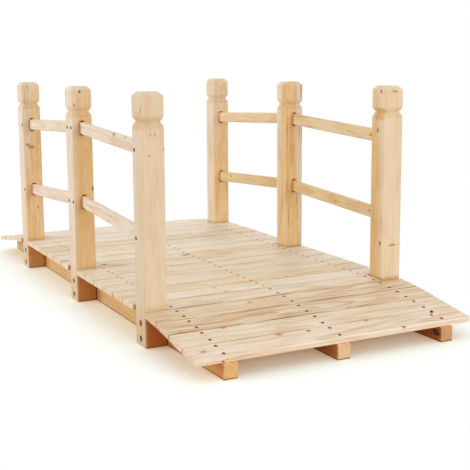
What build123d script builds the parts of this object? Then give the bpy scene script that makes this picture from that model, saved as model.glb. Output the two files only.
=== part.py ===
# Low garden footbridge in plain softwood: three stringers, a deck of cross
# boards that runs down a ramp at each end, and a post-and-rail side on each
# edge. +X is the front end, -Y the left side, Z = 0 the ground. Millimetres.
from build123d import *
import os
from math import atan, cos, degrees, radians, sin, tan

os.makedirs("parts", exist_ok=True)

# overall; WIDTH is over the outer faces of the posts
LENGTH = 1500.0
WIDTH = 672.0
HEIGHT = 550.0

# stringers: sawn from plank, level over the middle, easing into a straight ramp
STRINGER_T = 30.0
STRINGER_H = 72.0
LEVEL_HALF = 400.0
EASE_R = 1317.0
RAMP_ANGLE = 9.2

# deck boards: their ends stand a little past the posts
BOARD_T = 12.0
BOARD_PAST_POST = 1.5
LEVEL_GAP = 3.2
RAMP_GAP = 2.2
BOARD_EDGE = 1.5
BOARDS_PER_BAY = 7
BOARDS_PER_RAMP = 4
END_LIP = 7.0
BOARD_TO_POST = 1.5

# posts: square, with a block head over a V neck
POST = 52.0
POST_EDGE = 1.0
POST_FOOT = 2.0
HEAD_CHAMFER = 10.0
HEAD_DROP = 52.5
NECK_DROP = 62.5
SHOULDER_DROP = 76.0
NECK_DEPTH = 6.0
PROFILE_PROUD = 0.5

# rails: thin bars let into round-ended slots in the posts
RAIL_H = 30.0
RAIL_T = 12.5
RAIL_EDGE = 2.0
RAIL_DROPS = {"upper": (102.5, 123.6), "lower": (290.0, 314.7)}
SLOT_H = 38.0
SLOT_DEPTH = 17.0
SIDE_CLEAR = 0.25
END_CLEAR = 0.3

# coach screws through the foot of each post into the stringer
SCREW_Z = (16.0, 51.0)
SCREW_D = 8.0
SCREW_L = 62.0
HEAD_AF = 12.0
HEAD_T = 5.0
RECESS_D = 15.0
RECESS_DEPTH = 9.0
HOLE_CLEAR = 0.15

HALF_L = LENGTH / 2
HALF_W = WIDTH / 2
POST_Y = HALF_W - POST / 2
STRINGER_Y = HALF_W - POST - STRINGER_T / 2
EASE_X = LEVEL_HALF + EASE_R * sin(radians(RAMP_ANGLE))
EASE_Z = STRINGER_H - EASE_R * (1 - cos(radians(RAMP_ANGLE)))
EASE_S = LEVEL_HALF + EASE_R * radians(RAMP_ANGLE)
TOE_Z = EASE_Z - (HALF_L - EASE_X) * tan(radians(RAMP_ANGLE))
# the deck runs along the stringer's top to END_LIP short of its toes, in equal
# boards, with wider gaps on the level than on the ramps
LEVEL_BOARDS = 2 * BOARDS_PER_BAY + 1
DECK_END = EASE_S + (HALF_L - END_LIP - EASE_X) / cos(radians(RAMP_ANGLE))
GAPS = (LEVEL_BOARDS - 1) * LEVEL_GAP + 2 * BOARDS_PER_RAMP * RAMP_GAP
BOARD_W = (2 * DECK_END - GAPS) / (LEVEL_BOARDS + 2 * BOARDS_PER_RAMP)
BOARD_PITCH = BOARD_W + LEVEL_GAP
# a post stands flush with the front edge of the short board beside it
POST_SHIFT = BOARD_W / 2 - POST / 2
BAY = BOARDS_PER_BAY * BOARD_PITCH
POST_X = {"front": BAY + POST_SHIFT, "middle": POST_SHIFT, "back": -BAY + POST_SHIFT}
SIDES = {"left": -1, "right": 1}


def save(shape, name):
    export_step(shape, "parts/" + name + ".step")


def on_stringer(s):
    """Point and slope on the stringer's top, s along it from the middle."""
    a = abs(s)
    if a <= LEVEL_HALF:
        x, z, angle = a, STRINGER_H, 0.0
    elif a <= EASE_S:
        angle = degrees((a - LEVEL_HALF) / EASE_R)
        x = LEVEL_HALF + EASE_R * sin(radians(angle))
        z = STRINGER_H - EASE_R * (1 - cos(radians(angle)))
    else:
        angle = RAMP_ANGLE
        x = EASE_X + (a - EASE_S) * cos(radians(angle))
        z = EASE_Z - (a - EASE_S) * sin(radians(angle))
    side = -1 if s < 0 else 1
    return side * x, z, side * angle


def stringer_blank():
    """Side outline of a stringer, extruded to the plank's thickness."""
    mid = radians(RAMP_ANGLE) / 2
    mid_x = LEVEL_HALF + EASE_R * sin(mid)
    mid_z = STRINGER_H - EASE_R * (1 - cos(mid))
    with BuildSketch(Plane.XZ) as outline:
        with BuildLine():
            Line((-HALF_L, TOE_Z), (-HALF_L, 0))
            Line((-HALF_L, 0), (HALF_L, 0))
            Line((HALF_L, 0), (HALF_L, TOE_Z))
            Line((HALF_L, TOE_Z), (EASE_X, EASE_Z))
            ThreePointArc((EASE_X, EASE_Z), (mid_x, mid_z), (LEVEL_HALF, STRINGER_H))
            Line((LEVEL_HALF, STRINGER_H), (-LEVEL_HALF, STRINGER_H))
            ThreePointArc((-LEVEL_HALF, STRINGER_H), (-mid_x, mid_z), (-EASE_X, EASE_Z))
            Line((-EASE_X, EASE_Z), (-HALF_L, TOE_Z))
        make_face()
    return extrude(outline.sketch, STRINGER_T / 2, both=True)


def bore(x, z, y_from, y_to, diameter):
    """Round hole along Y."""
    length = abs(y_to - y_from)
    return Pos(x, (y_from + y_to) / 2, z) * Rot(X=90) * Cylinder(diameter / 2, length)


def make_stringer(side):
    body = Pos(0, side * STRINGER_Y, 0) * stringer_blank()
    if side:
        face_y = side * (HALF_W - POST)
        reach = SCREW_L - (POST - RECESS_DEPTH)
        for x in POST_X.values():
            for z in SCREW_Z:
                tip_y = face_y - side * (reach + 1.0)
                body -= bore(x, z, face_y, tip_y, SCREW_D + 2 * HOLE_CLEAR)
    return body


def post_profile():
    """Front view of a post: block head, V neck, rounded shoulder, eased foot.

    Its straight sides stand proud of the shaft, so it shapes only the rest.
    """
    w = POST / 2 + PROFILE_PROUD
    neck = POST / 2 - NECK_DEPTH
    top = POST / 2 - HEAD_CHAMFER
    head_z = HEIGHT - HEAD_DROP
    neck_z = HEIGHT - NECK_DROP
    shoulder_z = HEIGHT - SHOULDER_DROP
    with BuildSketch(Plane.XZ) as outline:
        with BuildLine():
            Line((0, 0), (w - POST_FOOT, 0))
            Line((w - POST_FOOT, 0), (w, POST_FOOT))
            Line((w, POST_FOOT), (w, shoulder_z))
            ThreePointArc(
                (w, shoulder_z),
                (w - NECK_DEPTH * 0.28, shoulder_z + (neck_z - shoulder_z) * 0.62),
                (neck, neck_z),
            )
            ThreePointArc(
                (neck, neck_z),
                (w - NECK_DEPTH * 0.36, neck_z + (head_z - neck_z) * 0.5),
                (w, head_z),
            )
            Line((w, head_z), (w, HEIGHT - HEAD_CHAMFER))
            ThreePointArc(
                (w, HEIGHT - HEAD_CHAMFER),
                (w - HEAD_CHAMFER * 0.4, HEIGHT - HEAD_CHAMFER * 0.4),
                (top, HEIGHT),
            )
            Line((top, HEIGHT), (0, HEIGHT))
            Line((0, HEIGHT), (0, 0))
        make_face()
        mirror(about=Plane.YZ)
    return outline.sketch


def post_blank():
    """The head is worked on all four faces, so the two views meet in mitres."""
    view = extrude(post_profile(), POST, both=True)
    section = Rectangle(POST, POST)
    section = chamfer(section.vertices(), POST_EDGE)
    shaft = extrude(section, HEIGHT)
    return shaft & view & (Rot(Z=90) * view)


def rail_slot(x_face, z, into):
    """Round-ended slot routed into a post face at x_face, into = +1 or -1."""
    sketch = SlotOverall(SLOT_H, RAIL_T + 2 * SIDE_CLEAR, rotation=90)
    cutter = Plane.YZ.offset(0) * sketch
    return Pos(x_face, 0, z) * extrude(cutter, SLOT_DEPTH * into)


def rail_line(level, bay):
    """Centre height of a rail at x, and its slope, between two posts."""
    drop_mid, drop_end = RAIL_DROPS[level]
    other = POST_X[bay]
    grade = (drop_mid - drop_end) / abs(other - POST_X["middle"])
    direction = 1 if bay == "front" else -1

    def height(x):
        return HEIGHT - drop_mid + grade * abs(x - POST_X["middle"])

    return height, grade * direction


def make_post(side, place):
    x_post = POST_X[place]
    body = post_blank()
    for level in RAIL_DROPS:
        for bay in ("front", "back"):
            if place == "middle":
                face = 1 if bay == "front" else -1
            elif place == bay:
                face = -1 if bay == "front" else 1
            else:
                continue
            height, _ = rail_line(level, bay)
            x_face = face * POST / 2
            body -= rail_slot(x_face, height(x_post + x_face), -face)
    outer = side * POST / 2
    for z in SCREW_Z:
        body -= bore(0, z, outer, outer - side * RECESS_DEPTH, RECESS_D)
        body -= bore(0, z, outer, -outer, SCREW_D + 2 * HOLE_CLEAR)
    return Pos(x_post, side * POST_Y, 0) * body


def make_rail(side, level, bay):
    height, slope = rail_line(level, bay)
    face = 1 if bay == "front" else -1
    reach = SLOT_DEPTH - END_CLEAR
    x_in = POST_X["middle"] + face * (POST / 2 - reach)
    x_out = POST_X[bay] - face * (POST / 2 - reach)
    x_low, x_high = min(x_in, x_out), max(x_in, x_out)
    x_mid = (x_low + x_high) / 2
    tilt = degrees(atan(slope))
    length = (x_high - x_low) / cos(radians(tilt)) - RAIL_H * abs(tan(radians(tilt)))
    section = Rectangle(RAIL_T, RAIL_H)
    section = chamfer(section.vertices(), RAIL_EDGE)
    bar = extrude(Plane.YZ * section, length / 2, both=True)
    return Pos(x_mid, side * POST_Y, height(x_mid)) * Rot(Y=-tilt) * bar


def make_board(s, length):
    x, z, angle = on_stringer(s)
    section = Plane.XZ * Pos(0, BOARD_T / 2) * Rectangle(BOARD_W, BOARD_T)
    board = extrude(section, length / 2, both=True)
    rims = board.edges().filter_by(Axis.Y).group_by(Axis.Z)[-1]
    board = chamfer(rims, BOARD_EDGE)
    return Pos(x, 0, z) * Rot(Y=angle) * board


def board_places():
    """Middle of each board along the stringer, from the front end back."""
    step = BOARD_W + RAMP_GAP
    ramp = [BAY + (i + 1) * step for i in range(BOARDS_PER_RAMP)]
    flat = [i * BOARD_PITCH for i in range(BOARDS_PER_BAY, -BOARDS_PER_BAY - 1, -1)]
    return ramp[::-1] + flat + [-s for s in ramp]


def make_screws(side):
    """Six coach screws, heads sunk in the outer faces of the posts."""
    screws = []
    seat_y = side * (HALF_W - RECESS_DEPTH)
    for x in POST_X.values():
        for z in SCREW_Z:
            shank = bore(x, z, seat_y, seat_y - side * SCREW_L, SCREW_D)
            hexagon = extrude(RegularPolygon(HEAD_AF / 2, 6, major_radius=False), HEAD_T / 2, both=True)
            head = Pos(x, seat_y + side * HEAD_T / 2, z) * Rot(X=90) * hexagon
            screws.append(shank + head)
    return Compound(children=screws)


save(make_stringer(-1), "stringer_left")
save(make_stringer(0), "stringer_middle")
save(make_stringer(1), "stringer_right")

short_boards = (BOARDS_PER_RAMP, BOARDS_PER_RAMP + BOARDS_PER_BAY, BOARDS_PER_RAMP + 2 * BOARDS_PER_BAY)
for i, place in enumerate(board_places()):
    span = WIDTH + 2 * BOARD_PAST_POST
    if i in short_boards:
        span = WIDTH - 2 * (POST + BOARD_TO_POST)
    save(make_board(place, span), "deck_board_%02d" % (i + 1))

for side_name, side in SIDES.items():
    for place in POST_X:
        save(make_post(side, place), "post_%s_%s" % (place, side_name))
    for level in RAIL_DROPS:
        for bay in ("front", "back"):
            save(make_rail(side, level, bay), "rail_%s_%s_%s" % (level, bay, side_name))
    save(make_screws(side), "coach_screws_" + side_name)
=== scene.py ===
# Low garden footbridge in planed, unfinished softwood, dressed over its packed
# CAD model. Metres; +X is the front end, -Y the left side, Z = 0 the ground.
import math
import random

import bmesh
import bpy
from mathutils import Matrix, Vector


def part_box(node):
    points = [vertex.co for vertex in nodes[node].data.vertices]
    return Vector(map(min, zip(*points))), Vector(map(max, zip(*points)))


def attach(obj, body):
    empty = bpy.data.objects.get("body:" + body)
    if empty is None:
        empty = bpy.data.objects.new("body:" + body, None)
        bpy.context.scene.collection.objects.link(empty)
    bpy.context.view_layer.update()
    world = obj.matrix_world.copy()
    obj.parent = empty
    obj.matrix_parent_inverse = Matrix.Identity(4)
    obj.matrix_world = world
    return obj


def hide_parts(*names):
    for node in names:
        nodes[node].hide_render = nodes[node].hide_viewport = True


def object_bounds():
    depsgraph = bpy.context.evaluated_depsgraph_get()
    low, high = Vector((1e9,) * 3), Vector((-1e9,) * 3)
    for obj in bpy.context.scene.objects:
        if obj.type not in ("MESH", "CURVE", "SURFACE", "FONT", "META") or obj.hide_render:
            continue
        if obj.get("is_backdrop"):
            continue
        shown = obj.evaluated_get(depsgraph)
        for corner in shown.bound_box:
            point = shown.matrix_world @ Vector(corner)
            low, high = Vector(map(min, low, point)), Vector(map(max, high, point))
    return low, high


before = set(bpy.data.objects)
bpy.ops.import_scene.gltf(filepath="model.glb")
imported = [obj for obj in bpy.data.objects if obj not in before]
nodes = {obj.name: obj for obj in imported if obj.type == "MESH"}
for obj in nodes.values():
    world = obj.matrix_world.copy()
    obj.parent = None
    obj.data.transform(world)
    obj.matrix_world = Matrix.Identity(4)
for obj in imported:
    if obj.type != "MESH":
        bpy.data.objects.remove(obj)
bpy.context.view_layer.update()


# --- Studio --------------------------------------------------------------
# A white photo studio: a floor of seamless paper, wide softboxes on the left
# and in front, a weak one behind, and an even white surround in the shadows.
MM = 1000.0
# half the length of a span that is left open, past the whole bridge
OPEN = 1.0


def linear(hex_colour):
    """An sRGB hex colour as the linear RGBA that a node takes."""
    parts = [int(hex_colour[i : i + 2], 16) / 255 for i in (1, 3, 5)]
    flat = [c / 12.92 if c <= 0.04045 else ((c + 0.055) / 1.055) ** 2.4 for c in parts]
    return (*flat, 1.0)


def add(tree, kind, inputs=None, **settings):
    """Adds one node; inputs maps a socket to a value, or to a (node, output) it is linked from."""
    made = tree.nodes.new(kind)
    for key, value in settings.items():
        setattr(made, key, value)
    for socket, value in (inputs or {}).items():
        if isinstance(value, tuple) and isinstance(value[0], bpy.types.Node):
            tree.links.new(value[0].outputs[value[1]], made.inputs[socket])
        else:
            made.inputs[socket].default_value = value
    return made


def seen_directly(tree):
    """1 on camera, glossy and transmission rays, 0 on the rays that light the bridge."""
    path = add(tree, "ShaderNodeLightPath")
    either = add(
        tree,
        "ShaderNodeMath",
        {0: (path, "Is Camera Ray"), 1: (path, "Is Glossy Ray")},
        operation="MAXIMUM",
    )
    return add(
        tree,
        "ShaderNodeMath",
        {0: (either, 0), 1: (path, "Is Transmission Ray")},
        operation="MAXIMUM",
    )


def span_box(x=(-OPEN, OPEN), y=(-OPEN, OPEN), z=(-OPEN, OPEN)):
    """A box, as its low and high corners, from its span along each axis; one left out is open."""
    return Vector((x[0], y[0], z[0])), Vector((x[1], y[1], z[1]))


def outside_box(tree, spot, low, high):
    """How far a place lies outside a box, in mm: 0 anywhere inside it."""
    centred = add(
        tree,
        "ShaderNodeMapping",
        {"Vector": (spot, "Object"), "Location": -MM / 2 * (low + high), "Scale": (MM, MM, MM)},
    )
    size = add(tree, "ShaderNodeVectorMath", {0: (centred, 0)}, operation="ABSOLUTE")
    past = add(tree, "ShaderNodeVectorMath", {0: (size, 0), 1: MM / 2 * (high - low)}, operation="SUBTRACT")
    outside = add(tree, "ShaderNodeVectorMath", {0: (past, 0), 1: (0, 0, 0)}, operation="MAXIMUM")
    return add(tree, "ShaderNodeVectorMath", {0: (outside, 0)}, operation="LENGTH"), 1


def finished(shape, name):
    """Puts a bmesh in the scene as a piece of that name."""
    mesh = bpy.data.meshes.new(name)
    shape.to_mesh(mesh)
    shape.free()
    piece = bpy.data.objects.new(name, mesh)
    scene.collection.objects.link(piece)
    return piece


scene = bpy.context.scene
scene.view_settings.view_transform = "Standard"

WHITE = "#FFFFFF"
SHOWN_WHITE = 1.0
SURROUND_LIGHT = 0.77
studio = bpy.data.worlds.new("white_studio")
studio.use_nodes = True
sky = studio.node_tree
sky.nodes.clear()
lit = add(sky, "ShaderNodeBackground", {"Color": linear(WHITE), "Strength": SURROUND_LIGHT})
shown = add(sky, "ShaderNodeBackground", {"Color": linear(WHITE), "Strength": SHOWN_WHITE})
pick = add(sky, "ShaderNodeMixShader", {0: (seen_directly(sky), 0), 1: (lit, 0), 2: (shown, 0)})
add(sky, "ShaderNodeOutputWorld", {"Surface": (pick, 0)})
scene.world = studio

# the paper lies a hair below the feet
FLOOR_HALF = 30.0
FLOOR_DROP = 0.0004
sheet = bmesh.new()
bmesh.ops.create_grid(sheet, x_segments=1, y_segments=1, size=FLOOR_HALF)
floor = finished(sheet, "studio_floor")
floor.location.z = -FLOOR_DROP
floor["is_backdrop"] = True

# Studio paper. Near the bridge's foot the camera sees a bluish matt that takes the real shadow, with a
# warm painted light added, so the shadow shows warm and soft; further out the paper is shown plain
# white. The light it throws back onto the bridge is tan.
HALF_LENGTH = 0.75
HALF_OVER_POSTS = 0.336
SHADOW_REACH_MM = 130.0
SHADOW_GLOW = 0.28
paper = bpy.data.materials.new("matt_studio_paper")
paper.use_nodes = True
tree = paper.node_tree
tree.nodes.clear()
bounce = add(tree, "ShaderNodeBsdfDiffuse", {"Color": linear("#C8986A")})
matt = add(tree, "ShaderNodeBsdfDiffuse", {"Color": linear("#E6FCFF")})
# painted light: a warm emission near the bridge that tints and lifts its shadow
painted_shadow_glow = add(tree, "ShaderNodeEmission", {"Color": linear("#FFC482"), "Strength": SHADOW_GLOW})
near = add(tree, "ShaderNodeAddShader", {0: (matt, 0), 1: (painted_shadow_glow, 0)})
bleached = add(tree, "ShaderNodeEmission", {"Color": linear(WHITE), "Strength": SHOWN_WHITE})
spot = add(tree, "ShaderNodeTexCoord")
footprint = span_box(x=(-HALF_LENGTH, HALF_LENGTH), y=(-HALF_OVER_POSTS, HALF_OVER_POSTS))
far = add(
    tree,
    "ShaderNodeMapRange",
    {
        "Value": outside_box(tree, spot, *footprint),
        "From Min": 0.0,
        "From Max": SHADOW_REACH_MM,
        "To Min": 0.0,
        "To Max": 1.0,
    },
    interpolation_type="SMOOTHSTEP",
)
shown = add(tree, "ShaderNodeMixShader", {0: (far, 0), 1: (near, 0), 2: (bleached, 0)})
pick = add(tree, "ShaderNodeMixShader", {0: (seen_directly(tree), 0), 1: (bounce, 0), 2: (shown, 0)})
add(tree, "ShaderNodeOutputMaterial", {"Surface": (pick, 0)})
floor.data.materials.append(paper)

# softboxes at waist height, all turned to the middle of the bridge, as (place, watts, tint)
SOFTBOX_WIDE = 2.4
SOFTBOX_TALL = 1.4
SOFTBOX_AIM = Vector((0, 0, 0.25))
SOFTBOXES = {
    "left_softbox": ((-1.2, -3.4, 0.95), 63.0, "#E8F4FF"),
    "front_softbox": ((3.7, 0.3, 0.95), 45.0, WHITE),
    "back_softbox": ((-3.2, 1.9, 0.95), 14.0, WHITE),
}
for name, (place, watts, tint) in SOFTBOXES.items():
    softbox = bpy.data.lights.new(name, "AREA")
    softbox.shape = "RECTANGLE"
    softbox.size = SOFTBOX_WIDE
    softbox.size_y = SOFTBOX_TALL
    softbox.energy = watts
    softbox.color = linear(tint)[:3]
    lamp = bpy.data.objects.new(name, softbox)
    lamp.location = place
    lamp.rotation_euler = (SOFTBOX_AIM - lamp.location).to_track_quat("-Z", "Y").to_euler()
    scene.collection.objects.link(lamp)

# Camera: 0.63 m up and 2.7 m from the middle of the bridge; angles in radians
CAMERA_AT = (2.3623, -1.0931, 0.6252)
CAMERA_HEADING = 0.4705
CAMERA_DOWN = 0.1587
CAMERA_ROLL = -0.0073
camera_data = bpy.data.cameras.new("camera")
camera_data.sensor_width = 36.0
camera_data.lens = 74.163
camera_data.shift_x = 0.0198
camera_data.shift_y = -0.0537
camera_data.clip_end = 100.0
camera = bpy.data.objects.new("camera", camera_data)
look = Vector(
    (
        -math.cos(CAMERA_HEADING) * math.cos(CAMERA_DOWN),
        math.sin(CAMERA_HEADING) * math.cos(CAMERA_DOWN),
        -math.sin(CAMERA_DOWN),
    )
)
turn = look.to_track_quat("-Z", "Y").to_matrix().to_4x4() @ Matrix.Rotation(CAMERA_ROLL, 4, "Z")
camera.matrix_world = Matrix.Translation(CAMERA_AT) @ turn
scene.collection.objects.link(camera)
scene.camera = camera


# --- Stringers -----------------------------------------------------------
# Three planks of planed whitewood (spruce) on edge carry the deck. Each is sawn
# to its rise and fall along the top, lies flat on the ground, and is left bare.
LEFT = (0, -1, 0)
FRONT = (1, 0, 0)
UP = (0, 0, 1)

# the grain strays by up to so many mm (along, across, out): far in a long drift, a little in a waver
GRAIN_DRIFT = Vector((0, 26, 26))
GRAIN_WAVER = Vector((0, 3.2, 3.2))
KNOT_WAVER = Vector((5, 3, 3))
# a noise keeps mostly between 0.3 and 0.7; a tint shows where it runs through these parts
TINTED_NOISE = (0.42, 0.72)
STREAK_NOISE = (0.52, 0.64)
PATCH_NOISE = (0.4, 0.6)
BLUSH = "#F5DDBA"
BLUSH_MOST = 0.45
STRAND = "#E3C8A2"
STRAND_MOST = 0.3
# streaks, and the painted gap shade on board edges, show this much of their tint where the wood is clean,
# and all in the patches
CLEAN_SHARE = 0.35
# summer wood starts at this part of a year's ring, and a poor year's is this faint beside the best
SUMMER_START = 0.25
POOR_YEAR = 0.35
# heartwood turns to sapwood over this many mm to each side of its edge
HEART_BLEND = 7
# a knot is drawn out along the grain, and pushes the rings by so many mm: fully inside the first
# of these radii, and not at all past the second
KNOT_LONG = 1.6
KNOT_BULGE = 7.0
KNOT_PUSHES = (0.6, 4.0)
# halo, rim and core of a knot, as (full inside this radius, gone at this one, how strong)
KNOT_ZONES = ((0.9, 2.6, 0.5), (0.9, 1.15, 1.0), (0.45, 0.9, 1.0))
LIVE_KNOT = ("#DFBB88", "#B28346", "#C2945A")
DEAD_KNOT = ("#B88650", "#1C0C05", "#784826")
# planing leaves summer wood a little smoother, and the strands standing by hundredths of a millimetre
SPRING_ROUGHNESS = 0.62
SUMMER_ROUGHNESS = 0.44
STRAND_HEIGHT = 0.0003
STRAND_STRENGTH = 0.35
WOOD_IOR = 1.5
# painted shade: a board's edge beside a gap is browned for the shade in the gap; the brown begins, and is
# full, so many mm in from the edge
GAP_SHADE_BROWN = "#B8905C"
GAP_SHADE_BEGINS = 1.6
GAP_SHADE_FULL = 0.4


def new_material(name):
    """A material of that name, with its node tree and its shader."""
    material = bpy.data.materials.new(name)
    material.use_nodes = True
    return material, material.node_tree, material.node_tree.nodes["Principled BSDF"]


def widest_face(piece, way):
    """The piece's largest flat that looks the given way: its outward normal and a point on it."""
    way = Vector(way)
    seen = [face for face in piece.data.polygons if face.normal.dot(way) > 0.9]
    face = max(seen, key=lambda f: f.area)
    return face.normal.copy(), face.center.copy()


def grain_frame(tree, spot, piece, grain, face):
    """The place in mm from the piece's middle: X along the grain, Y across it, Z out of the face."""
    out = Vector(face).normalized()
    along = (Vector(grain) - out * out.dot(Vector(grain))).normalized()
    turn = Matrix((along, out.cross(along), out))
    corners = [Vector(c) for c in piece.bound_box]
    middle = sum(corners, Vector()) / len(corners)
    return add(
        tree,
        "ShaderNodeMapping",
        {
            "Vector": (spot, "Object"),
            "Location": -MM * (turn @ middle),
            "Rotation": turn.to_euler(),
            "Scale": (MM, MM, MM),
        },
    )


def uneven(tree, here, long, wide, detail, shift):
    """An uneven pattern of patches, long mm along the grain and wide mm across it."""
    scaled = add(
        tree,
        "ShaderNodeMapping",
        {"Vector": (here, 0), "Location": shift, "Scale": (1 / long, 1 / wide, 1 / wide)},
    )
    return add(tree, "ShaderNodeTexNoise", {"Vector": (scaled, 0), "Scale": 1.0, "Detail": detail})


def nearest_knot(tree, here, knots):
    """Distance to the nearest knot, as 1 at a knot's rim, from (along, across, out, radius) in mm.

    A fifth number is the half width across of a branch that the face cuts lengthways. The noise
    that wavers a knot's outline also moves it, by half of the waver on average.
    """
    near = None
    for along, across, out, radius, *spread in knots:
        centre = Vector((along, across, out)) + KNOT_WAVER / 2
        size = Vector((radius * KNOT_LONG, spread[0] if spread else radius, radius))
        centred = add(
            tree,
            "ShaderNodeMapping",
            {
                "Vector": (here, 0),
                "Location": (-centre.x / size.x, -centre.y / size.y, -centre.z / size.z),
                "Scale": (1 / size.x, 1 / size.y, 1 / size.z),
            },
        )
        span = add(tree, "ShaderNodeVectorMath", {0: (centred, 0)}, operation="LENGTH")
        if near is None:
            near = (span, 1)
        else:
            near = (add(tree, "ShaderNodeMath", {0: near, 1: (span, 1)}, operation="MINIMUM"), 0)
    return near


def year_rings(tree, distance, ring, figure):
    """Pale spring wood that darkens to a hard line of summer wood, ring by ring out from the pith."""
    years = add(tree, "ShaderNodeMath", {0: distance, 1: ring}, operation="DIVIDE")
    year = add(tree, "ShaderNodeMath", {0: (years, 0)}, operation="FRACT")
    summer = add(
        tree,
        "ShaderNodeMapRange",
        {"Value": (year, 0), "From Min": SUMMER_START, "From Max": 1.0, "To Min": 0.0, "To Max": 1.0},
        interpolation_type="SMOOTHSTEP",
    )
    count = add(tree, "ShaderNodeMath", {0: (years, 0)}, operation="FLOOR")
    weather = add(tree, "ShaderNodeTexWhiteNoise", {"W": (count, 0)}, noise_dimensions="1D")
    vigour = add(
        tree,
        "ShaderNodeMapRange",
        {
            "Value": (weather, 0),
            "From Min": 0.0,
            "From Max": 1.0,
            "To Min": figure * POOR_YEAR,
            "To Max": figure,
        },
    )
    return add(tree, "ShaderNodeMath", {0: (summer, 0), 1: (vigour, 0)}, operation="MULTIPLY")


def toned(tree, tone, tint, where, span, amounts, ease="LINEAR", blend="MIX", share=None):
    """The tone under a tint, as (node, output).

    As where runs over the span, the tint's amount runs from the first amount to the second. A
    share, from 0 to 1, weakens it in places.
    """
    amount = add(
        tree,
        "ShaderNodeMapRange",
        {
            "Value": where,
            "From Min": span[0],
            "From Max": span[1],
            "To Min": amounts[0],
            "To Max": amounts[1],
        },
        interpolation_type=ease,
    )
    if share:
        amount = add(tree, "ShaderNodeMath", {0: (amount, 0), 1: share}, operation="MULTIPLY")
    mixed = add(
        tree,
        "ShaderNodeMix",
        {0: (amount, 0), 6: tone, 7: linear(tint)},
        data_type="RGBA",
        blend_type=blend,
    )
    return mixed, 2


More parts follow.
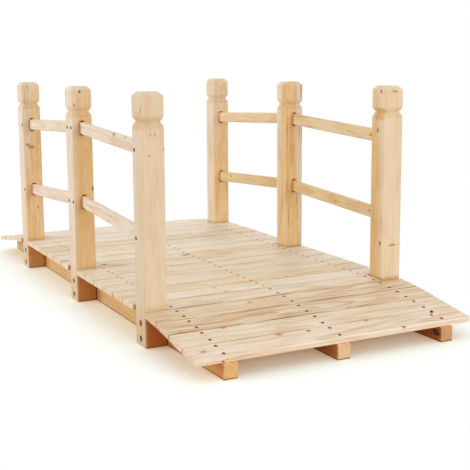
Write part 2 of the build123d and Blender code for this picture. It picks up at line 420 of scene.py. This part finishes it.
def whitewood(
    piece,
    grain,
    face,
    pith,
    lean=(0.0, 0.0),
    seed=0.0,
    pale="#E8D6B8",
    late="#C99F6C",
    heart="#E4C48F",
    heart_radius=0.0,
    ring=3.6,
    figure=0.45,
    streaks=0.25,
    streak="#A87C42",
    knots=(),
    dark_knots=(),
    shades=(),
    gap_shaded_edges=(),
):
    """Planed, unfinished whitewood: pale sapwood with fine year rings, warmer heartwood and knots.

    The figure is solid, so faces, edges and ends agree. It is laid in the piece's own frame in mm:
    X along the grain, Z out of the given face, from the piece's middle. The pith is (across, out)
    of that middle, and leans by (across, out) mm per metre of length. Each shade is a box as
    (low, high, fade, tint): the wood in it takes the tint, which fades out over so many mm round it.
    """
    wood, tree, shader = new_material("planed_whitewood_" + piece.name)
    spot = add(tree, "ShaderNodeTexCoord")
    here = grain_frame(tree, spot, piece, grain, face)

    # the grain drifts over half a metre, and wavers over a hand's breadth
    drift = uneven(tree, here, long=420, wide=70, detail=1.0, shift=(seed, 2 * seed, 0))
    drifting = add(
        tree,
        "ShaderNodeVectorMath",
        {0: (drift, "Color"), 1: GRAIN_DRIFT, 2: (here, 0)},
        operation="MULTIPLY_ADD",
    )
    waver = uneven(tree, here, long=90, wide=14, detail=2.0, shift=(0, seed, seed))
    flowing = add(
        tree,
        "ShaderNodeVectorMath",
        {0: (waver, "Color"), 1: GRAIN_WAVER, 2: (drifting, 0)},
        operation="MULTIPLY_ADD",
    )
    loose = add(
        tree,
        "ShaderNodeVectorMath",
        {0: (waver, "Color"), 1: KNOT_WAVER, 2: (here, 0)},
        operation="MULTIPLY_ADD",
    )

    # a noise is one half on average, so half of both is taken back where the pith is placed
    push = (GRAIN_DRIFT + GRAIN_WAVER) / 2
    from_pith = add(
        tree,
        "ShaderNodeMapping",
        {
            "Vector": (flowing, 0),
            "Location": (0, -pith[0] - push.y, -pith[1] - push.z),
            "Rotation": (0, lean[1] / MM, -lean[0] / MM),
        },
    )
    flat = add(tree, "ShaderNodeVectorMath", {0: (from_pith, 0), 1: (0, 1, 1)}, operation="MULTIPLY")
    radius = add(tree, "ShaderNodeVectorMath", {0: (flat, 0)}, operation="LENGTH")
    live = nearest_knot(tree, loose, knots)
    dead = nearest_knot(tree, loose, dark_knots)
    grown = (radius, 1)
    for near in (live, dead):
        if near:
            bulge = add(
                tree,
                "ShaderNodeMapRange",
                {
                    "Value": near,
                    "From Min": KNOT_PUSHES[0],
                    "From Max": KNOT_PUSHES[1],
                    "To Min": KNOT_BULGE,
                    "To Max": 0.0,
                },
                interpolation_type="SMOOTHERSTEP",
            )
            grown = (add(tree, "ShaderNodeMath", {0: grown, 1: (bulge, 0)}, operation="ADD"), 0)
    lines = year_rings(tree, grown, ring, figure)

    tone = linear(pale)
    if heart_radius:
        ends = (heart_radius - HEART_BLEND, heart_radius + HEART_BLEND)
        tone = toned(tree, tone, heart, (radius, 1), ends, (1.0, 0.0), "SMOOTHSTEP")
    ringed = add(
        tree,
        "ShaderNodeMix",
        {0: (lines, 0), 6: tone, 7: linear(late)},
        data_type="RGBA",
    )

    # a faint blush in patches as long as a hand, and thin resin streaks that gather in the patches
    patches = uneven(tree, here, long=110, wide=26, detail=2.0, shift=(2 * seed, seed, 0))
    blush = (0.0, BLUSH_MOST)
    tone = toned(tree, (ringed, 2), BLUSH, (patches, 0), TINTED_NOISE, blush, blend="MULTIPLY")
    patchy = add(
        tree,
        "ShaderNodeMapRange",
        {
            "Value": (patches, 0),
            "From Min": PATCH_NOISE[0],
            "From Max": PATCH_NOISE[1],
            "To Min": CLEAN_SHARE,
            "To Max": 1.0,
        },
        interpolation_type="SMOOTHSTEP",
    )
    share = (patchy, 0)
    resin = uneven(tree, flowing, long=210, wide=3.6, detail=2.0, shift=(seed, 3 * seed, seed))
    tone = toned(tree, tone, streak, (resin, 0), STREAK_NOISE, (0.0, streaks), "SMOOTHSTEP", share=share)

    # fibres are hundredths of a millimetre wide; drawn as 1.6 mm strands so that they show
    strands = uneven(tree, flowing, long=70, wide=1.6, detail=3.0, shift=(seed, 0, seed))
    dim = (0.0, STRAND_MOST)
    tone = toned(tree, tone, STRAND, (strands, 0), TINTED_NOISE, dim, blend="MULTIPLY")

    for near, colours in ((live, LIVE_KNOT), (dead, DEAD_KNOT)):
        if near:
            for (inner, outer, most), colour in zip(KNOT_ZONES, colours):
                tone = toned(tree, tone, colour, near, (inner, outer), (most, 0.0), "SMOOTHSTEP")
    # each shade tints the wood in its box; most of them are painted shade
    for low, high, fade, tint in shades:
        gap = outside_box(tree, spot, low, high)
        tone = toned(tree, tone, tint, gap, (0.0, fade), (1.0, 0.0), "SMOOTHSTEP", "MULTIPLY")
    # painted shade along the board edges beside a gap, for the shade in the gap
    for side, half_width, dark in gap_shaded_edges:
        parts = add(tree, "ShaderNodeSeparateXYZ", {0: (here, 0)})
        edge = (side * (half_width - GAP_SHADE_BEGINS), side * (half_width - GAP_SHADE_FULL))
        brown = (0.0, dark)
        tone = toned(tree, tone, GAP_SHADE_BROWN, (parts, "Y"), edge, brown, blend="MULTIPLY", share=share)
    tree.links.new(tone[0].outputs[tone[1]], shader.inputs["Base Color"])

    sheen = add(
        tree,
        "ShaderNodeMapRange",
        {
            "Value": (lines, 0),
            "From Min": 0.0,
            "From Max": 1.0,
            "To Min": SPRING_ROUGHNESS,
            "To Max": SUMMER_ROUGHNESS,
        },
    )
    tree.links.new(sheen.outputs[0], shader.inputs["Roughness"])
    relief = add(tree, "ShaderNodeMath", {0: (strands, 0), 1: (lines, 0)}, operation="ADD")
    planed = add(
        tree,
        "ShaderNodeBump",
        {"Height": (relief, 0), "Strength": STRAND_STRENGTH, "Distance": STRAND_HEIGHT},
    )
    tree.links.new(planed.outputs[0], shader.inputs["Normal"])
    shader.inputs["IOR"].default_value = WOOD_IOR
    piece.data.materials.clear()
    piece.data.materials.append(wood)


# corners closer than this are one, and a corner this near a cut lies on it
SAME_CORNER = 0.00001
ON_THE_CUT = 0.000001


def merged_copy(name):
    """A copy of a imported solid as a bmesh, with its loose triangles joined."""
    timber = bmesh.new()
    timber.from_mesh(nodes[name].data)
    bmesh.ops.remove_doubles(timber, verts=timber.verts, dist=SAME_CORNER)
    return timber


def sawn_through(timber, place, way, **how):
    """Cuts the timber along a plane, and returns what lies on the cut."""
    geom = timber.verts[:] + timber.edges[:] + timber.faces[:]
    cut = bmesh.ops.bisect_plane(timber, geom=geom, dist=ON_THE_CUT, plane_co=place, plane_no=way, **how)
    return cut["geom_cut"]


# knots, as (to the front, up, to the left, radius, half width) in mm from a plank's middle
STRINGER_WOOD = {
    "stringer_left": dict(
        pith=(-70, 10),
        lean=(6, 3),
        seed=3.1,
        pale="#EECB8C",
        late="#B48238",
        ring=3.2,
        figure=0.9,
        streaks=0.3,
    ),
    "stringer_middle": dict(
        pith=(20, 60),
        lean=(8, -4),
        seed=7.7,
        pale="#E4CB9C",
        late="#C4985E",
        ring=4.0,
    ),
    "stringer_right": dict(
        pith=(5, -12),
        lean=(4, 6),
        seed=12.4,
        pale="#D2AA7A",
        late="#A9763F",
        figure=0.7,
        dark_knots=[(732, -18, 15, 7), (748, 14, 4, 3, 9)],
    ),
}
# painted shade: under the deck the wood takes a warm orange for the shade there; faces and ends in the open
# are left out of it, to this depth
UNDER_DECK_SHADE = "#FFC799"
OPEN_FACE_INSET = 0.006
TINT_EDGE_FADE = 3.0
# painted contact shadow: a dark tint over the underside and in a line along the foot of whatever stands on
# the ground
GROUND_SHADE_HEIGHT = 0.0012
GROUND_SHADE_FADE = 2.4
PLANK_GROUND_SHADE = "#B07C4A"
# the left plank is yellower at its front end, and past the last post it runs inward by this slope
NOSE_START = 0.50
NOSE_YELLOW = "#F8E2BC"
WARP = 0.019


def warped_plank(name, post):
    """The plank with its front end warped inward, from the front face of the given post."""
    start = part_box(post)[1].x
    timber = merged_copy(name)
    sawn_through(timber, (start, 0, 0), FRONT)
    inward = Matrix.Identity(4)
    inward[1][0] = WARP
    end = [corner for corner in timber.verts if corner.co.x > start]
    bmesh.ops.transform(timber, matrix=inward, space=Matrix.Translation((-start, 0, 0)), verts=end)
    bmesh.ops.recalc_face_normals(timber, faces=timber.faces)
    plank = finished(timber, name + "_timber")
    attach(plank, "root")
    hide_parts(name)
    return plank


for name, wood in STRINGER_WOOD.items():
    low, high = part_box(name)
    left_face = low.y + OPEN_FACE_INSET if name == "stringer_left" else -OPEN
    right_face = high.y - OPEN_FACE_INSET if name == "stringer_right" else OPEN
    # painted shade under the deck, kept off the open faces and ends
    stringer_under_deck_shade = span_box(x=(low.x + OPEN_FACE_INSET, high.x - OPEN_FACE_INSET), y=(left_face, right_face))
    # painted contact shadow along the ground
    ground_shade = span_box(z=(-OPEN, GROUND_SHADE_HEIGHT))
    shades = [(*stringer_under_deck_shade, TINT_EDGE_FADE, UNDER_DECK_SHADE), (*ground_shade, GROUND_SHADE_FADE, PLANK_GROUND_SHADE)]
    plank = nodes[name]
    if name == "stringer_left":
        nose = span_box(x=(NOSE_START, high.x - OPEN_FACE_INSET))
        shades.append((*nose, TINT_EDGE_FADE, NOSE_YELLOW))
        plank = warped_plank(name, "post_front_left")
    whitewood(plank, FRONT, LEFT, shades=shades, **wood)


# --- Deck boards ---------------------------------------------------------
# Thin planed whitewood boards laid across the stringers, with a shadow gap
# between them. They come from many logs, so no two match in tone and figure.
SORTS = {
    "cream": dict(pale="#F1E6D3", late="#D9BD8C", figure=0.4, streaks=0.3),
    "plain": dict(pale="#EEE1CB", late="#CFAC76", figure=0.5, streaks=0.42),
    "honey": dict(pale="#ECDABA", late="#CB9F5C", figure=0.55, streaks=0.52),
    "flamed": dict(pale="#ECDABF", late="#BD8C48", figure=0.7, ring=3.4, streaks=0.75),
    "front": dict(pale="#F4EFE2", late="#CFAC76", figure=0.5, streaks=0.3),
}
# the boards of each sort, counted from the front; the rest are plain
BOARD_SORTS = {
    "front": (1,),
    "flamed": (3, 4),
    "honey": (7, 12, 16),
    "cream": (6, 13, 14, 17, 18, 19, 20, 22),
}
# knots, as (to the left, to the front, out, radius) in mm from a board's middle
BOARD_KNOTS = {
    1: [(305, -3, 6, 3.6), (121, -25, 6, 4), (-98, -27, 6, 3), (270, 31, 1, 1.2)],
    2: [(216, -28, 6, 3.5)],
    3: [(-266, -15, 6, 3.6)],
    4: [(95, -8, 6, 3), (-101, 12, 6, 3)],
    6: [(111, -24, 6, 3), (102, 19, 6, 3)],
    7: [(-97, 24, 6, 4)],
    13: [(328, -26, 6, 5)],
    14: [(140, -26, 6, 3)],
}
BOARD_DARK_KNOTS = {
    1: [(52, -22, 6, 2.6), (-158, 28, 6, 2.6), (278, 31, -3, 1.5)],
    12: [(11, -8, 6, 5), (251, 0, 6, 4.5)],
}
BOARD_WIDTH_MM = 62.1
# how strong the painted gap shade on an edge is, at the least and at the most
GAP_SHADE_STRENGTH = (0.3, 0.85)
# painted highlight: the front board's front edge, to this depth, is left lighter than the rest of the
# board, which takes painted shade as this (fade in mm, tint)
HIGHLIGHT_EDGE_DEPTH = Vector((0.004, 0, 0))
SHADE_BEHIND_HIGHLIGHT = (1.5, "#FAEEE6")

boards = [nodes[name] for name in sorted(nodes) if name.startswith("deck_board_")]
chance = random.Random(11)
for number, board in enumerate(boards, 1):
    sort = next((s for s, members in BOARD_SORTS.items() if number in members), "plain")
    up, _ = widest_face(board, UP)
    low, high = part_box(board.name)
    # each board comes from its own place in a log, with the heart above it or below
    heart_side = chance.choice((-1, 1))
    pith = (chance.uniform(-22, 22), heart_side * chance.uniform(28, 75))
    lean = (chance.uniform(-7, 7), chance.uniform(6, 20))
    seed = chance.uniform(0, 60)
    # the edges beside a gap take the painted gap shade; the two outermost edges take none
    gap_sides = [side for side in (-1, 1) if 1 <= number - side <= len(boards)]
    whitewood(
        board,
        LEFT,
        up,
        pith,
        lean,
        seed,
        knots=BOARD_KNOTS.get(number, []),
        dark_knots=BOARD_DARK_KNOTS.get(number, []),
        # painted highlight on the front board's front edge, by painted shade on the rest
        shades=[(low, high - HIGHLIGHT_EDGE_DEPTH, *SHADE_BEHIND_HIGHLIGHT)] if number == 1 else [],
        gap_shaded_edges=[(side, BOARD_WIDTH_MM / 2, chance.uniform(*GAP_SHADE_STRENGTH)) for side in gap_sides],
        **SORTS[sort],
    )


# --- Posts ---------------------------------------------------------------
# Six square whitewood posts, bolted to the outer stringers. Each is cut from
# near the middle of a small log, so some faces are warm heartwood, others pale.
DECK_UNDERSIDE = 0.0725
DECK_TOP = 0.0845
RAIL_TALL = 0.030
# the head is cut by a moulding knife on all four faces, as (below the top, in from the faces)
SHAFT_END = 0.0770
HEAD_CUTS = [
    (0.0760, 0.0),
    (0.0716, 0.0009),
    (0.0668, 0.0031),
    (0.0622, 0.0062),
    (0.0578, 0.0031),
    (0.0534, 0.0009),
    (0.0495, 0.0),
    (0.0090, 0.0),
    (0.0, 0.0082),
]
# the shoulder, from just under the bottom of the V to the shaft, as (from, to) below the top
SHOULDER = (HEAD_CUTS[3][0] + 0.001, HEAD_CUTS[0][0])
# a stain's width, how far it keeps from the front face, and its depth from the left face
STAIN_WIDE = 0.030
STAIN_FROM_FRONT = 0.006
STAIN_DEEP = 0.006
SEAM_HALF = 0.0016
FOOT_TALL = 0.03
# what darkens a post, as the fade in mm, and the tint where all posts share it: painted shade on the
# shoulder, below the deck top, beside the boards, in the seam with the stringer and round the rail ends,
# a painted contact shadow along the ground, and a faint darkening of the foot towards the ground
SHOULDER_SHADE_FADE = 1.5
STAIN_FADE = 3.0
POST_GROUND_SHADE = (GROUND_SHADE_FADE, "#A87246")
STRINGER_SEAM_SHADE = (1.6, "#8A5A34")
BELOW_DECK_SHADE = (14.0, "#F8EEE2")
DECK_CONTACT_SHADE = (4.0, "#F0DCBE")
FOOT_DARKENING = (60.0, "#FDF4E8")
RAIL_SLOT_SHADE = (8.0, "#F8DDC0")


def toward_front(piece):
    """The way a sloping board or rail runs, toward its front end."""
    top, _ = widest_face(piece, UP)
    return Vector((top.z, 0, -top.x))


def height_at(x, point, way):
    """The height at x of a line that runs through the point in the given way."""
    return point.z + (x - point.x) * way.z / way.x


def rail_end(rail_name, post_name):
    """Box of the end of a rail in its slot in a post, or None where the two do not meet."""
    rail_low, rail_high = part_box(rail_name)
    post_low, post_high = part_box(post_name)
    low = Vector(map(max, rail_low, post_low))
    high = Vector(map(min, rail_high, post_high))
    if any(a >= b for a, b in zip(low, high)):
        return None
    middle = (rail_low + rail_high) / 2
    height = height_at((low.x + high.x) / 2, middle, toward_front(nodes[rail_name]))
    low.z, high.z = height - RAIL_TALL / 2, height + RAIL_TALL / 2
    return low, high


def worked_post(name):
    """The post with its head cut crisp: a flat-sided V neck under a chamfered block."""
    low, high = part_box(name)
    middle = (low + high) / 2
    half = (high.x - low.x) / 2
    height, width = high.z - SHAFT_END, half
    timber = merged_copy(name)
    cut = sawn_through(timber, (0, 0, height), UP, clear_outer=True)
    rim = [part for part in cut if isinstance(part, bmesh.types.BMEdge)]
    for drop, inset in HEAD_CUTS:
        grown = bmesh.ops.extrude_edge_only(timber, edges=rim)["geom"]
        rim = [part for part in grown if isinstance(part, bmesh.types.BMEdge) and part.is_boundary]
        points = [part for part in grown if isinstance(part, bmesh.types.BMVert)]
        narrower = (half - inset) / width
        about_middle = Matrix.Translation(-middle)
        bmesh.ops.scale(timber, vec=(narrower, narrower, 1), space=about_middle, verts=points)
        bmesh.ops.translate(timber, vec=(0, 0, high.z - drop - height), verts=points)
        height, width = high.z - drop, half - inset
    bmesh.ops.holes_fill(timber, edges=rim)
    bmesh.ops.recalc_face_normals(timber, faces=timber.faces)
    for face in timber.faces:
        face.smooth = False
    post = finished(timber, name + "_timber")
    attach(post, "root")
    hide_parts(name)
    return post


def post_shades(name, under_deck_tint=UNDER_DECK_SHADE, neck="#F5F0E4", stain=None):
    """Where painted shade, a stain and a faint darkening of the foot make a post darker; a stain is (from,
    to) below the top and its tint.
    """
    low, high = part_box(name)
    on_left = name.endswith("left")
    behind_face = (low.y + OPEN_FACE_INSET, OPEN) if on_left else (-OPEN, high.y - OPEN_FACE_INSET)
    # painted shade under the deck, behind the post's open face
    post_under_deck_shade = span_box(y=behind_face, z=(-OPEN, DECK_UNDERSIDE))
    # painted shade on the shoulder, which faces a little up and would show lighter than the shaft
    shoulder = span_box(z=(high.z - SHOULDER[1], high.z - SHOULDER[0]))
    shades = [(*post_under_deck_shade, TINT_EDGE_FADE, under_deck_tint), (*shoulder, SHOULDER_SHADE_FADE, neck)]
    if stain:
        start, stop, brown = stain
        stain_front = high.x - STAIN_FROM_FRONT
        corner = span_box(
            x=(stain_front - STAIN_WIDE, stain_front),
            y=(-OPEN, low.y + STAIN_DEEP),
            z=(high.z - stop, high.z - start),
        )
        shades.append((*corner, STAIN_FADE, brown))
    inner = high.y if on_left else low.y
    # painted contact shadow along the ground
    ground_shade = span_box(y=behind_face, z=(-OPEN, GROUND_SHADE_HEIGHT))
    # painted shade in the seam where the post meets the stringer
    seam = span_box(y=(inner - SEAM_HALF, inner + SEAM_HALF), z=(-OPEN, DECK_UNDERSIDE))
    # painted shade below the deck top, fading out above it
    below = span_box(y=behind_face, z=(-OPEN, DECK_TOP))
    shades += [(*ground_shade, *POST_GROUND_SHADE), (*seam, *STRINGER_SEAM_SHADE), (*below, *BELOW_DECK_SHADE)]
    # on the right posts, painted shade where the deck boards meet them
    if not on_left:
        shades.append((*span_box(z=(DECK_UNDERSIDE, DECK_TOP)), *DECK_CONTACT_SHADE))
    # a faint darkening of the foot, stronger towards the ground
    shades.append((*span_box(z=(-OPEN, FOOT_TALL)), *FOOT_DARKENING))
    # painted shade round the rail ends in their slots
    ends = [rail_end(rail, name) for rail in rails]
    return shades + [(*end, *RAIL_SLOT_SHADE) for end in ends if end]


# what all posts share; knots, as (up, to the left, to the front, radius, half width) in mm from a
# post's middle
POST_GRAIN = dict(lean=(3, 4), figure=0.36, streaks=0.2, streak="#BC8040", ring=3.4, late="#CFA25E")
POST_WOOD = {
    "post_front_left": dict(
        pith=(60, 40),
        pale="#E0D5BC",
        figure=0.26,
        streaks=0.12,
        knots=[
            (186, 5, 26, 1.6),
            (186, -5, 26, 2, 1.2),
            (142, 9, 26, 1.6),
            (155, -25, 26, 2),
            (238, 26, 26, 6, 0.5),
        ],
    ),
    "post_middle_left": dict(
        pith=(-12, 56),
        heart_radius=44,
        lean=(4, 42),
        pale="#E7DFCC",
        knots=[(229, 19, 26, 2.4)],
        dark_knots=[(262, 4, 26, 1.8), (17, -25, 26, 3)],
    ),
    "post_back_left": dict(
        pith=(-12, 56),
        heart_radius=44,
        lean=(4, 42),
        pale="#E7DFCC",
        heart="#F0D2A2",
        streaks=0.45,
        knots=[(87, 4, 26, 3.4, 9), (94, 14, 26, 2, 6), (-93, -9, 26, 2.4)],
    ),
    "post_front_right": dict(
        pith=(62, -6),
        heart_radius=44,
        lean=(40, 4),
        pale="#E7DCC2",
        figure=0.34,
        streaks=0.15,
        knots=[(-109, -2, 26, 1.6, 9), (262, -2, 26, 1.4, 7)],
        dark_knots=[(-104, 26, 15, 2.6), (169, 26, -1, 2.4), (262, 26, 10, 2.2)],
    ),
    "post_middle_right": dict(
        pith=(38, 38),
        heart_radius=54,
        lean=(38, 38),
        pale="#E7DFCC",
        heart="#EACB98",
        figure=0.45,
        streaks=0.8,
    ),
    "post_back_right": dict(
        pith=(-8, 60),
        heart_radius=46,
        lean=(4, 42),
        pale="#EADEC8",
        heart="#F0D2A2",
        dark_knots=[(211, 22, 26, 1.8)],
    ),
}
# painted shade of the wood under the deck and on the shoulder, and the tint of a brown stain over the
# neck's left face
POST_TINTS = {
    "post_front_left": dict(under_deck_tint="#FAB87C", neck="#F4F0EA", stain=(0.044, 0.078, "#FAF0D8")),
    "post_middle_left": dict(under_deck_tint="#FFEBC8", neck="#F8EDDA"),
    "post_back_left": dict(under_deck_tint="#FFFAEC", neck="#F8EDDA"),
    "post_front_right": dict(stain=(0.054, 0.080, "#FAE0C2")),
    "post_back_right": dict(neck="#F8EDDA"),
}
rails = sorted(name for name in nodes if name.startswith("rail_"))
for n, (name, own_wood) in enumerate(POST_WOOD.items()):
    shades = post_shades(name, **POST_TINTS.get(name, {}))
    wood = {**POST_GRAIN, "seed": 5.0 * n, **own_wood}
    whitewood(worked_post(name), UP, FRONT, shades=shades, **wood)


# --- Rails ---------------------------------------------------------------
# Eight thin planed bars of straight-grained whitewood, let into slots in the
# posts, where a pin through the post holds each end.
RAIL_PALE = {
    "left": {"upper": "#E8E0CF", "lower": "#E8E0CF"},
    "right": {"upper": "#ECD8B2", "lower": "#E8CFA0"},
}
# knots, as (to the front, up, to the left, radius, half width) in mm from a rail's middle
RAIL_KNOTS = {
    "rail_upper_front_left": [(40, 12, 6, 4.4), (108, 13, 6, 2.2)],
    "rail_lower_front_left": [(-15, -13, 6, 3)],
    "rail_upper_front_right": [(173, 0, 6, 4)],
    "rail_lower_front_right": [(18, -4, 6, 3, 2), (172, 2, 6, 4, 3)],
    "rail_lower_back_right": [(-122, 4, 6, 2.4), (158, -2, 6, 2.4)],
}
# painted shade: a rail is tinted warm where it goes into a post, for the shade in the slot, as (fade in mm,
# tint)
SLOT_END_SHADE = (12.0, "#FFE0C0")

for n, name in enumerate(rails):
    _, level, _, side = name.split("_")
    ends = [rail_end(name, post) for post in POST_WOOD]
    whitewood(
        nodes[name],
        toward_front(nodes[name]),
        LEFT,
        pith=(12 - 5 * n, 40 + 6 * n),
        lean=(3, 2 + n),
        seed=3.7 * n,
        pale=RAIL_PALE[side][level],
        late="#CBA162",
        figure=0.45,
        streaks=0.35,
        knots=RAIL_KNOTS.get(name, []),
        shades=[(*end, *SLOT_END_SHADE) for end in ends if end],
    )


# --- Coach screws --------------------------------------------------------
# Two hexagon-headed steel screws sunk in the foot of each post, hot oil-blacked
# so that they stay dark and dull in their recesses.
def dull_skin(name, dark, light, specks, detail, roughness, specular=0.0):
    """A dull skin between two browns, with so many specks to the centimetre along x, y and z."""
    skin, tree, shader = new_material(name)
    spot = add(tree, "ShaderNodeTexCoord")
    per_metre = [MM / 10 * n for n in specks]
    scaled = add(tree, "ShaderNodeMapping", {"Vector": (spot, "Object"), "Scale": per_metre})
    speckle = add(tree, "ShaderNodeTexNoise", {"Vector": (scaled, 0), "Scale": 1.0, "Detail": detail})
    brown = add(
        tree,
        "ShaderNodeMix",
        {0: (speckle, 0), 6: linear(dark), 7: linear(light)},
        data_type="RGBA",
    )
    tree.links.new(brown.outputs[2], shader.inputs["Base Color"])
    shader.inputs["Roughness"].default_value = roughness
    shader.inputs["Specular IOR Level"].default_value = specular
    return skin


# the oxide hides the metal: almost black, a little browner in specks, and without a glint
for name in ("coach_screws_left", "coach_screws_right"):
    steel = dull_skin(
        "oil_blacked_steel_" + name,
        dark="#1C1009",
        light="#33200F",
        specks=(4, 4, 4),
        detail=3.0,
        roughness=0.8,
    )
    nodes[name].data.materials.clear()
    nodes[name].data.materials.append(steel)


# --- Deck nails ----------------------------------------------------------
# Two wire nails hold each board down on every stringer, driven just below the
# face, where the bruised wood round the rusted head shows as a dark spot.
NAIL_HEAD = 0.0064
NAIL_BRUISE = 0.0104
NAIL_SIDES = 12
# drawn standing a hair above the face, so that it shows
NAIL_RISE = 0.0003
# a pair sits this far to each side of the board's middle, and strays by so much
NAIL_PAIR = 0.0174
NAIL_STRAY = 0.0012
# three more on the front board, as (to the front of its middle, y)
SPARE_NAILS = [(-0.021, 0.273), (-0.004, 0.258), (0.0185, 0.269)]
# how much of a head shows: all of it on the first boards, less on the others, where it is
# driven deeper, and least in the left row, where the wood has closed over it
FIRST_BOARDS = 5
LEFT_ROW_PAST = -0.2
LEFT_SHOWN = 0.7
OTHERS_SHOWN = 0.85


def drive(heads, place, lay, rim, flat):
    """Adds one nail's head: a low cone, half sunk, from its rim's diameter to its flat's."""
    bmesh.ops.create_cone(
        heads,
        cap_ends=True,
        segments=NAIL_SIDES,
        radius1=rim / 2,
        radius2=flat / 2,
        depth=2 * NAIL_RISE,
        matrix=Matrix.Translation(place) @ lay,
    )


nails = bmesh.new()
aim = random.Random(4)
rows = [sum(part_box(name), Vector()).y / 2 for name in STRINGER_WOOD]
for number, board in enumerate(boards, 1):
    up, point = widest_face(board, UP)
    low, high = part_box(board.name)
    ahead = toward_front(board)
    middle_x = (low.x + high.x) / 2
    middle = Vector((middle_x, 0, height_at(middle_x, point, ahead)))
    lay = up.to_track_quat("Z", "Y").to_matrix().to_4x4()
    holes = [
        (side * NAIL_PAIR + aim.uniform(-NAIL_STRAY, NAIL_STRAY), y + aim.uniform(-NAIL_STRAY, NAIL_STRAY))
        for y in rows
        for side in (-1, 1)
    ]
    if number == 1:
        holes += SPARE_NAILS
    for forward, y in holes:
        place = middle + ahead * forward
        place.y = y
        part = 1.0 if number <= FIRST_BOARDS else LEFT_SHOWN if y < LEFT_ROW_PAST else OTHERS_SHOWN
        drive(nails, place, lay, NAIL_BRUISE * part, NAIL_HEAD * part)
# the flats are the heads, and the four-cornered faces round them are bruised wood
for face in nails.faces:
    face.material_index = 1 if len(face.verts) == 4 else 0
deck_nails = finished(nails, "deck_nails")

# rust gives the heads a dead, dark brown; the fibres that a head crushed are stained
# tan by it, in streaks along the grain, and are duller than the planed wood
rust = dull_skin(
    "rusted_nail_steel",
    dark="#221107",
    light="#452611",
    specks=(3, 3, 3),
    detail=2.0,
    roughness=0.9,
)
bruise = dull_skin(
    "nail_bruised_whitewood",
    dark="#945822",
    light="#C08A4C",
    specks=(6, 0.6, 6),
    detail=2.0,
    roughness=0.8,
    specular=0.2,
)
deck_nails.data.materials.append(rust)
deck_nails.data.materials.append(bruise)
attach(deck_nails, "root")


# --- Rail pins -----------------------------------------------------------
# A nail driven through each post's outer face pins every rail end in its slot:
# one at each height in an end post, a pair side by side in a middle post.
PIN_RIM = 0.0104
PIN_FLAT = 0.72 * PIN_RIM
PIN_FROM_MIDDLE = 0.016

pins = bmesh.new()
for side, outward in (("left", -1), ("right", 1)):
    face_outward = Matrix.Rotation(-outward * math.pi / 2, 4, "X")
    for level in ("upper", "lower"):
        for bay in ("front", "back"):
            rail = nodes["rail_%s_%s_%s" % (level, bay, side)]
            centre = sum(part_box(rail.name), Vector()) / 2
            for post_place in ("middle", bay):
                post_low, post_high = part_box("post_%s_%s" % (post_place, side))
                post_middle = (post_low.x + post_high.x) / 2
                toward = 1 if centre.x > post_middle else -1
                x = post_middle + toward * PIN_FROM_MIDDLE
                y = post_high.y if outward > 0 else post_low.y
                z = height_at(x, centre, toward_front(rail))
                drive(pins, (x, y, z), face_outward, PIN_RIM, PIN_FLAT)
rail_pins = finished(pins, "rail_pins")
rail_pins.data.materials.append(rust)
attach(rail_pins, "root")


low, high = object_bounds()
